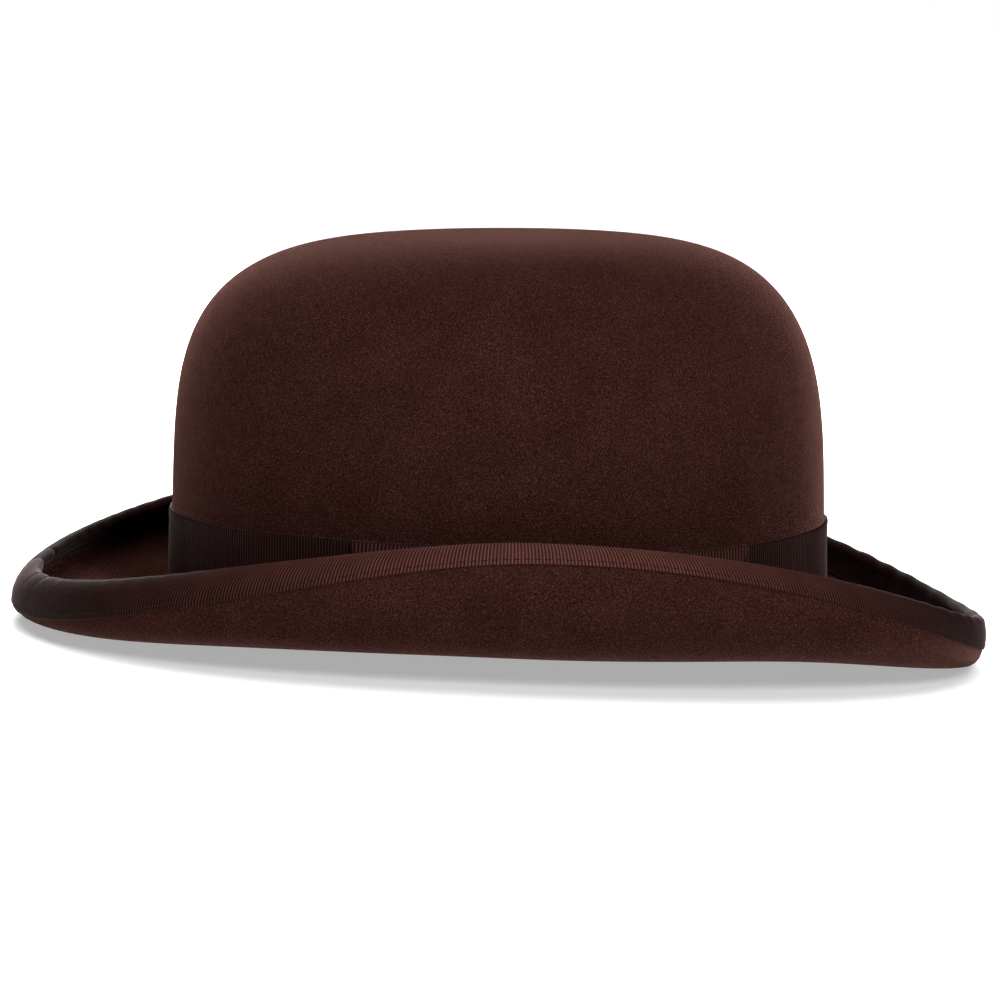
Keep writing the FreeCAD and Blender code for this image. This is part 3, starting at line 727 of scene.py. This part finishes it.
def binding_stitches(length):
    """Machine stitches along both selvedges of the binding."""
    stitch, pitch = 2.3 * MM, 3.0 * MM
    radius, rise = 0.13 * MM, 0.03 * MM
    count = round(length / pitch)
    offset = FELT / 2 + RIBBON_GAP + BINDING_THICKNESS * 0.6 + RIB_DEPTH * 0.6
    starts, ends, normals = [], [], []
    for sign in (-1, 1):
        leg = binding_under if sign < 0 else binding_upper

        def curve(angle, extra=0.0):
            return leg_point(angle, leg(angle), THREAD_INSET, sign * (offset + extra))

        theta = even_angles(curve, count)[0]
        step = TURN / count * stitch / pitch
        starts.append(curve(theta))
        ends.append(curve(theta + step))
        normals.append(unit(curve(theta, MM) - curve(theta)))
    return rods("binding_stitches", np.concatenate(starts), np.concatenate(ends), np.concatenate(normals),
                radius, rise, ["binding_thread"])


# ---- band
def band_waver(theta):
    """Unevenness of the band's top edge."""
    return (0.22 * np.sin(4 * theta + 0.4) + 0.14 * np.sin(11 * theta + 1.1)) * MM


def band_ribbon():
    """Ribbon round the crown, a little loose at its top edge near the rear."""
    middle_height = 18 * MM
    theta, length = ribbed_angles(lambda angle: wall_point(angle, middle_height, MM), RIB_PITCH)
    ribs = rib_phase(len(theta))
    foot = FELT / 2 + BAND_FOOT
    top = around("band_top", theta) + band_waver(theta)
    shares = np.concatenate([np.linspace(0, 0.05, 3), np.linspace(0.12, 0.88, 9), np.linspace(0.95, 1, 3)])
    rows = RibbonRows()
    for share in shares:
        from_edge = min(share, 1 - share)
        bead = 0.05 * MM * math.exp(-(from_edge / 0.02) ** 2)
        flare = MM * share ** 8 * (0.04 + 0.4 * np.exp(-((theta - 0.12) / 0.1) ** 2))
        height = foot + (top - foot) * share
        at_edge = from_edge < 0.001
        if at_edge:
            height = height + (ribs - 0.5) * 0.22 * MM * (1 if share > 0.5 else -1)
        body = BAND_THICKNESS * (0.3 if at_edge else 0.75)
        # Rib value for the painted groove shade and rib-back highlight; at the edges it is cut down to
        # painted shade.
        rows.add(wall_point(theta, height, RIBBON_GAP + body + ribs * FLAT_RIB_DEPTH + bead + flare),
                 ribs * (SHADED_EDGE_SHARE if at_edge else 1.0), (top - foot) * share)
    # The hidden inner face carries rib 0, so it takes the painted groove shade all over.
    for share in (1.0, 0.5, 0.0):
        rows.add(wall_point(theta, foot + (top - foot) * share, RIBBON_GAP), 0.0, (top - foot) * share)
    piece = closed_band("band_grosgrain_ribbon", rows.points, BAND_LOOK, ["band_ribbon"],
                        rows.attributes())


def tack_stitches(name, angles, heights, offset, length, replaces):
    """Upright hand stitches, with their middles at angles and heights."""
    starts = wall_point(angles, heights - length / 2, offset)
    ends = wall_point(angles, heights + length / 2, offset)
    radius, rise = 0.22 * MM, 0.12 * MM
    return rods(name, starts, ends, outward(angles), radius, rise, replaces)


def band_tacks():
    angles = np.radians([4, 180, 225, 270, 315])
    offset = RIBBON_GAP + BAND_THICKNESS + 0.15 * MM
    tack_stitches("band_tack_stitches", angles, around("band_top", angles) - 2.2 * MM, offset,
                  2.6 * MM, ["band_tacks"])


# ---- side bow
# How far the back of the bow is from the crown's wall.
BOW_BACK = RIBBON_GAP * 3 + BAND_THICKNESS


def bow_middle(theta):
    return around("band_top", theta) - BOW_HEIGHT / 2 + 0.25 * MM


def loop_path(reach):
    """Flat closed-end loop of ribbon seen from above: how far out from the knot and how far off the wall."""
    ribbon = 0.55 * MM
    base = BOW_BACK + ribbon / 2
    steps = round(2 * reach / RIB_PITCH) * COLUMNS_PER_RIB
    out = np.linspace(0, 1, steps // 2)
    fold_radius = 0.6 * MM
    run = reach - fold_radius
    inner = np.stack([out * run, base + 0.1 * MM * np.sin(out * math.pi)], axis=1)
    turn = np.linspace(-math.pi / 2, math.pi / 2, 9)[1:-1]
    fold = np.stack([run + fold_radius * np.cos(turn), base + fold_radius * (1 + np.sin(turn))], axis=1)
    puff = BOW_THICKNESS - BOW_WAIST_THICKNESS - 0.2 * MM
    height = base + 2 * fold_radius + puff * np.sin(out ** 0.8 * math.pi)
    outer = np.stack([out * run, height], axis=1)[::-1]
    return np.concatenate([inner, fold, outer]), ribbon


def ribs_along(path):
    """Height of the ribs at each point of a path: 1 on a rib's back, 0 between two ribs."""
    return np.abs(np.sin(math.pi * travelled_along(path) / RIB_PITCH)) ** RIB_SHARPNESS


def bow_loop(name, end_angle, knot_side, node):
    """Half of the bow, from under the knot to its folded end; its ribs fan a little towards the top."""
    knot = BOW_KNOT + knot_side * math.radians(2.0)
    samples = 200
    angles, reach = even_angles(lambda angle: wall_point(angle, bow_middle(angle), 2 * MM), samples,
                                knot, end_angle)
    travelled = np.linspace(0, reach, samples)
    path, ribbon = loop_path(reach)
    steps = np.gradient(path, axis=0)
    normal = unit(np.stack([steps[:, 1], -steps[:, 0]], axis=1))
    ribs = ribs_along(path)
    shares = np.concatenate([[-1, -0.97], np.linspace(-0.9, 0.9, 13), [0.97, 1]])
    rows = RibbonRows()
    outer_layer = np.arange(len(path)) > len(path) // 2

    def row(share, side):
        raised = ribs * (FLAT_RIB_DEPTH if side > 0 else 0.0)
        spot = path + normal * (side * ribbon / 2 + raised)[:, None]
        out = np.clip(spot[:, 0] / reach, 0, 1)
        width = (BOW_WAIST + (BOW_HEIGHT - BOW_WAIST) * np.sin(out * math.pi / 2) ** 0.4) / 2
        pinch = 0.45 * MM * np.cos(share * 9) * (1 - out) ** 2 * outer_layer
        fan = 1 - 0.25 * ((share + 1) / 2) ** 2 * (1 - out)
        angle = np.interp(np.clip(spot[:, 0] * fan, 0, reach), travelled, angles)
        return wall_point(angle, bow_middle(angle) + share * width, spot[:, 1] + pinch)

    # Rib value for the painted groove shade and rib-back highlight; at the edges it is cut down to painted
    # shade.
    for share in shares:
        rows.add(row(share, 1), ribs * (SHADED_EDGE_SHARE if abs(share) == 1 else 1.0), (share + 1) * BOW_HEIGHT / 2)
    # The back face carries rib 0, so it takes the painted groove shade all over.
    for share in shares[::-1]:
        rows.add(row(share, -1), 0.0, (share + 1) * BOW_HEIGHT / 2)
    piece = add_piece(name, rows.points, capped_faces(rows.points), BOW_LOOK, [node],
                      rows.attributes())


def bow_knot():
    """Short ribbon wrapped over the bow's waist from top to bottom; its ribs lie level."""
    offset = BOW_BACK + BOW_WAIST_THICKNESS + 4 * RIBBON_GAP
    reach = KNOT_HEIGHT / 2
    steps = round(KNOT_HEIGHT * 1.35 / RIB_PITCH) * COLUMNS_PER_RIB
    turn = np.linspace(-1, 1, steps)
    level = np.sign(turn) * np.abs(np.sin(turn * math.pi / 2)) * reach
    depth = offset + (KNOT_THICKNESS - 0.6 * MM) * np.abs(np.cos(turn * math.pi / 2)) ** 0.35
    path = np.stack([level, depth], axis=1)
    normal = unit(np.stack([-np.gradient(path[:, 1]), np.gradient(path[:, 0])], axis=1))
    ribs = ribs_along(path)
    shares = np.linspace(-1, 1, 15)
    rows = RibbonRows()
    centre = bow_middle(np.array(BOW_KNOT))
    spread = KNOT_WIDTH / 2 / (CROWN_HALF_LENGTH + offset)
    thickness = 0.5 * MM
    # The outer face carries the rib value for painted groove shade and rib-back highlight; the inner face
    # carries rib 0, so it takes that painted shade all over.
    for side in (1, -1):
        for share in shares * side:
            raised = thickness + ribs * FLAT_RIB_DEPTH if side > 0 else np.zeros(steps)
            crease = -0.35 * MM * (0.5 + 0.5 * math.cos(share * 8)) * np.abs(np.sin(turn * math.pi / 2)) ** 2
            spot = path + normal * (raised + crease - 0.25 * MM * share ** 6)[:, None]
            waist = 1 - 0.12 * np.cos(turn * math.pi / 2) ** 2
            angle = BOW_KNOT + share * spread * waist
            rows.add(wall_point(angle, centre + spot[:, 0], spot[:, 1]), ribs if side > 0 else 0.0,
                     (share + 1) * KNOT_WIDTH / 2)
    add_piece("bow_knot_ribbon", rows.points, capped_faces(rows.points), BOW_LOOK,
              ["bow_knot"], rows.attributes())


def bow_tacks():
    """Two hand stitches at each end of the bow."""
    offset = BOW_BACK + BOW_WAIST_THICKNESS + 0.3 * MM
    inset = 0.014
    angles = np.repeat([BOW_FRONT - inset, BOW_REAR + inset], 2)
    heights = bow_middle(angles) + np.array([-1, 1, -1, 1]) * BOW_HEIGHT / 3
    tack_stitches("bow_tack_stitches", angles, heights, offset, 2.8 * MM, ["bow_tacks"])


# ---- sweatband
def sweatband_offset(share):
    return -FELT - (SWEATBAND_FOOT_GAP + (SWEATBAND_TOP_GAP - SWEATBAND_FOOT_GAP) * share)


def sweatband_height(share):
    return SWEATBAND_FOOT + SWEATBAND_HEIGHT * share


def sweatband():
    """Leather strip inside the head opening; its edges are rounded over and its top wavers a little."""
    columns = 480
    theta, length = even_angles(lambda angle: wall_point(angle, 10 * MM, -5 * MM), columns)
    waver = (0.25 * np.sin(7 * theta) + 0.18 * np.sin(17 * theta + 1.0)) * MM
    shares = np.concatenate([[0, 0.015], np.linspace(0.06, 0.94, 13), [0.985, 1]])
    rows = []
    for side in (1, -1):
        for share in shares[::side]:
            round_over = 0.25 * MM if share in (0.0, 1.0) else 0.0
            depth = SWEATBAND - round_over if side > 0 else round_over
            height = sweatband_height(share) + waver * share
            rows.append(wall_point(theta, height, sweatband_offset(share) - depth - waver * share * 0.32))
    piece = closed_band("sweatband_leather_strip", rows, LEATHER_LOOK, ["sweatband"])


def beside_reed(theta, across, up):
    """Point beside the middle of the reed under the sweatband's lower edge."""
    height = SWEATBAND_FOOT - REED_RADIUS - RIBBON_GAP
    return wall_point(theta, height + up, sweatband_offset(0) - SWEATBAND / 2 + across)


def reed_and_tape():
    """Plastic cord, and the cloth tube round it whose two legs are sewn to the felt and the leather."""
    columns, sides = 480, 12
    theta, _ = even_angles(lambda angle: beside_reed(angle, 0.0, 0.0), columns)
    turns = np.arange(sides) * TURN / sides
    reed = [beside_reed(theta, REED_RADIUS * math.cos(turn), REED_RADIUS * math.sin(turn)) for turn in turns]
    closed_band("sweatband_reed_cord", reed, REED_LOOK, ["sweatband_reed"])

    frill = 0.05 * MM * np.sin(np.arange(columns) * 1.9)
    outer = REED_TAPE_INNER + REED_TAPE
    bends = np.radians(np.linspace(0, -180, 11))
    rows = []
    for radius, order in ((REED_TAPE_INNER, 1), (outer, -1)):
        side = order * radius
        leg = [beside_reed(theta, side + frill, REED_TAPE_LEG * share) for share in (1, 0.66, 0.33)]
        turned = bends[::order]
        fold = [beside_reed(theta, radius * math.cos(bend), radius * math.sin(bend)) for bend in turned]
        far = [beside_reed(theta, -side + frill, REED_TAPE_LEG * share) for share in (0.33, 0.66, 1)]
        rows += leg + fold + far
    closed_band("reed_tape_cloth", rows, TAPE_LOOK, ["reed_tape"])


def sweatband_stitches():
    """Stitches through the inner leg of the reed's tape."""
    count, stitch_share = 200, 0.72
    radius, rise = 0.17 * MM, 0.08 * MM
    depth = REED_TAPE_INNER + REED_TAPE + 0.12 * MM

    def curve(angle):
        return beside_reed(angle, -depth, REED_TAPE_LEG / 2)

    theta, _ = even_angles(curve, count)
    step = stitch_share * TURN / count
    rods("sweatband_stitch_row", curve(theta), curve(theta + step), -outward(theta), radius, rise,
         ["sweatband_stitches"])


def sweatband_face(theta, height, gap):
    share = (height - SWEATBAND_FOOT) / SWEATBAND_HEIGHT
    return wall_point(theta, height, sweatband_offset(share) - SWEATBAND - gap)


def plate_on_sweatband(name, centre, share, half_size, gap, thickness, shape, material, node):
    """Thin patch that follows the sweatband; shape(u, v, side) moves its outline and its two faces."""
    columns, rows = 33, 25
    u, v = np.meshgrid(np.linspace(-1, 1, columns), np.linspace(-1, 1, rows))
    radius = REAR_RADIUS if abs(math.sin(centre)) < REAR_SINE else CROWN_HALF_WIDTH
    grids = []
    for side in (1, 0):
        x, y, lift = shape(u, v, side)
        theta = centre + x * half_size[0] / radius
        height = sweatband_height(share) + y * half_size[1]
        grids.append(sweatband_face(theta, height, gap + thickness * side + lift))
    top = np.arange(rows * columns).reshape(rows, columns)
    sheet = grid_faces(rows, columns, False, False)
    faces = sheet.tolist() + (sheet + top.size)[:, ::-1].tolist()
    rim = np.concatenate([top[0, :-1], top[:-1, -1], top[-1, :0:-1], top[:0:-1, 0]])
    for corner, after in zip(rim, np.roll(rim, -1)):
        faces.append([corner, after, after + top.size, corner + top.size])
    points = np.concatenate([grid.reshape(-1, 3) for grid in grids])
    add_piece(name, points, faces, material, [node])


def sweatband_trim():
    """The tape over the sweatband's joint, its small ribbon bow and the blank tag."""
    def flat(u, v, side):
        return u, v, 0.06 * MM * np.sin(5 * v + 2 * u)

    def bow_half(direction):
        def shape(u, v, side):
            out = np.clip((u * direction + 1) / 2, 0, 1)
            spread = 0.62 + 0.38 * out ** 0.7
            puff = 0.8 * MM * np.cos(v * math.pi / 2) * np.maximum(np.sin(out * math.pi), 0) ** 0.8 * side
            pleat = 0.22 * MM * np.cos(v * 10) * (1 - out) * side
            return u, v * spread, puff + pleat
        return shape

    def knot(u, v, side):
        puff = 0.7 * MM * np.cos(u * math.pi / 2) ** 0.6 * side
        crease = 0.12 * MM * np.cos(u * 9) * side
        return u * (1 - 0.14 * (1 - v ** 2)), v, puff + crease

    plate_on_sweatband("seam_tape_cloth", 0.0, 0.5, (8 * MM, 15 * MM), 0.3 * MM, 0.4 * MM, flat,
                       TAPE_LOOK, "sweatband_seam_tape")
    for side, word in ((1, "left"), (-1, "right")):
        plate_on_sweatband(f"small_bow_{word}_loop", side * 10 * MM / REAR_RADIUS, 0.35, (7.5 * MM, 4 * MM),
                           0.9 * MM, 0.35 * MM, bow_half(side), RIBBON_LOOK,
                           f"sweatband_bow_{word}")
    plate_on_sweatband("small_bow_knot", 0.0, 0.35, (2.6 * MM, 3.1 * MM), 1.3 * MM, 0.9 * MM, knot,
                       RIBBON_LOOK, "sweatband_bow_knot")
    plate_on_sweatband("blank_tag", math.radians(30), 0.55, (11 * MM, 7.5 * MM), 0.5 * MM, 0.25 * MM, flat,
                       TAG_LOOK, "size_tag")


# ---- lining
def tip_plane(points, drop=0.0):
    """Points of the lining's oval top, from flat coordinates: X, Y and height above its plane."""
    slope = math.atan(CROWN_TOP_SLOPE)
    top = outer_point(np.zeros(1), np.zeros(1))[0] - np.array([0, 0, TIP_DROP + drop])
    across, up = math.cos(slope), math.sin(slope)
    turn = np.array([[1, 0, 0], [0, across, -up], [0, up, across]])
    return points @ turn.T + top


def tip_edge(theta, spread, drop=0.0):
    """Points round the lining's oval top, at a spread outside its edge."""
    flat = vector((TIP_HALF_WIDTH + spread) * np.sin(theta), (TIP_HALF_LENGTH + spread) * np.cos(theta), 0)
    return tip_plane(flat, drop)


def lining_side():
    """Satin wall, gathered in small pleats where it is sewn to the oval top."""
    columns = 960
    pleats = 96
    theta = np.arange(columns) * TURN / columns
    tucked = FELT + RIBBON_GAP * 2
    loose = FELT + LINING_GAP
    clear = PIPING_RADIUS * 2 + RIBBON_GAP * 2
    above = 0.93
    upper = np.linspace(above, LINING_TOP, 20)[1:]
    gather = (0.5 - 0.5 * np.cos(pleats * theta + 1.6 * np.sin(7 * theta))) ** 1.4
    rows = []
    for thickness in (0.0, LINING):
        lower = [wall_point(theta, LINING_FOOT, -tucked - thickness)]
        lower += [inner_point(theta, place, tucked + thickness) for place in (1.0, 0.965, above)]
        for place in upper:
            share = (above - place) / (above - LINING_TOP)
            depth = loose + thickness + gather * (0.15 + 1.2 * share) * MM
            lower.append(inner_point(theta, place, depth))
        edge = tip_edge(theta, clear - gather * 0.2 * MM, thickness - LINING)
        made = lower + [edge]
        rows += made if thickness == 0.0 else made[::-1]
    piece = closed_band("lining_side_satin", rows, SATIN_LOOK, ["lining_side"])


def lining_tip():
    """Oval top of the lining, sagging a little between its seams."""
    columns, rings = 240, 34
    deepest = -1.6 * MM
    theta = np.arange(columns) * TURN / columns
    rows = []
    for side in (0, 1):
        for share in np.linspace(1, 0.03, rings)[::(1 if side == 0 else -1)]:
            sag = deepest * (1 - share ** 2)
            ripple = 0.22 * MM * share ** 6 * np.sin(60 * theta + 2 * np.sin(3 * theta))
            flat = vector(TIP_HALF_WIDTH * np.sin(theta) * share, TIP_HALF_LENGTH * np.cos(theta) * share,
                          sag + ripple + side * LINING)
            rows.append(tip_plane(flat))
    middles = [tip_plane(np.array([[0, 0, deepest + side * LINING]]))[0] for side in (0, 1)]
    points = np.concatenate([np.concatenate(rows), middles])
    sheet = grid_faces(rings, columns, False, True)
    faces = sheet.tolist() + (sheet + rings * columns).tolist()
    last = (2 * rings - 1) * columns
    under, over = 2 * rings * columns, 2 * rings * columns + 1
    for column in range(columns):
        beside = (column + 1) % columns
        faces.append([(rings - 1) * columns + column, (rings - 1) * columns + beside, under])
        faces.append([rings * columns + beside, rings * columns + column, over])
        faces.append([last + column, last + beside, beside, column])
    piece = add_piece("lining_tip_satin", points, faces, SATIN_LOOK, ["lining_tip"])


def lining_piping():
    """Covered cord round the oval top; its cover shows fine slanting creases."""
    columns, sides = 960, 12
    theta = np.arange(columns) * TURN / columns
    spread = PIPING_RADIUS + RIBBON_GAP
    rows = []
    for side in range(sides):
        turn = TURN * side / sides
        radius = PIPING_RADIUS * (1 - 0.05 * (0.5 + 0.5 * np.sin(160 * theta + 2 * turn)))
        rows.append(tip_edge(theta, spread) + outward(theta) * (radius * math.cos(turn))[:, None]
                    + vector(0, 0, radius * math.sin(turn)))
    closed_band("lining_piping_cord", rows, SATIN_LOOK, ["lining_piping"])


# ---- room, light and camera
def add_floor(level):
    size = 30.0
    bpy.ops.mesh.primitive_plane_add(size=size, location=(0, 0, level))
    floor = bpy.context.object
    floor.name = "studio_floor"
    floor.data.materials.append(floor_material())
    floor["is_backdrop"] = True


def add_lamp(name, kind, place, energy, size):
    """Light aimed at the middle of the hat; size is metres across, or radians for a sun."""
    light = bpy.data.lights.new(name, kind)
    light.energy = energy
    if kind == "SUN":
        light.angle = size
    else:
        light.shape = "DISK"
        light.size = size
    lamp = bpy.data.objects.new(name, light)
    bpy.context.scene.collection.objects.link(lamp)
    lamp.location = place
    middle = Vector((0, 0, 0.06))
    lamp.rotation_euler = (middle - lamp.location).to_track_quat("-Z", "Y").to_euler()


def add_lights():
    """Surroundings that look white but light little; lamps above, beyond the hat and near the camera."""
    surroundings = 0.06
    world = bpy.data.worlds.new("studio_white")
    bpy.context.scene.world = world
    world.use_nodes = True
    tree = world.node_tree
    background = tree.nodes["Background"]
    set_inputs(background, Color=(1, 1, 1, 1))
    rays = tree.nodes.new("ShaderNodeLightPath")
    seen = rescale(tree, rays.outputs["Is Camera Ray"], 0.0, 1.0, surroundings, 1.0)
    tree.links.new(seen, background.inputs["Strength"])
    add_lamp("overhead_softbox", "SUN", (0.30, -0.05, 1.5), 3.7, math.radians(60))
    add_lamp("rear_softbox", "AREA", (-1.4, 0.0, 0.72), 52.0, 0.8)
    add_lamp("front_fill", "AREA", (1.0, 0.20, 0.5), 8.2, 0.3)
    bpy.context.scene.view_settings.view_transform = "Standard"


def add_camera():
    """Camera on the wearer's left, a little above the brim and tilted as the hat is."""
    distance = 1.4
    elevation, yaw, roll = (math.radians(angle) for angle in (8.548, 6.571, 3.436))
    focal_length, sensor = 157.97, 36.0
    level = Vector((math.sin(yaw), math.cos(yaw), 0))
    away = Vector((-math.cos(yaw), math.sin(yaw), 0))
    upright = away * math.sin(elevation) + Vector((0, 0, math.cos(elevation)))
    ahead = away * math.cos(elevation) - Vector((0, 0, math.sin(elevation)))
    right = level * math.cos(roll) + upright * math.sin(roll)
    up = upright * math.cos(roll) - level * math.sin(roll)
    reference = Vector((0, CROWN_CENTRE_Y, CROWN_BASE))
    place = reference - ahead * distance
    forward = (reference + up * 0.0346 + right * 0.0005 - place).normalized()
    right = forward.cross(up).normalized()
    turn = Matrix((right, right.cross(forward), -forward)).transposed()
    camera = bpy.data.cameras.new("photo_view")
    camera.lens = focal_length
    camera.sensor_width = sensor
    camera.clip_end = 20
    holder = bpy.data.objects.new("photo_view", camera)
    bpy.context.scene.collection.objects.link(holder)
    holder.matrix_world = Matrix.Translation(place) @ turn.to_4x4()
    bpy.context.scene.camera = holder


# ---- the whole scene
add_camera()
add_lights()
felt_body()
binding_stitches(brim_binding())
band_ribbon()
band_tacks()
bow_loop("bow_front_ribbon", BOW_FRONT, 1, "bow_front_loop")
bow_loop("bow_rear_ribbon", BOW_REAR, -1, "bow_rear_loop")
bow_knot()
bow_tacks()
sweatband()
reed_and_tape()
sweatband_stitches()
sweatband_trim()
lining_side()
lining_tip()
lining_piping()
add_floor(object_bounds()[0][2] - 0.1 * MM)
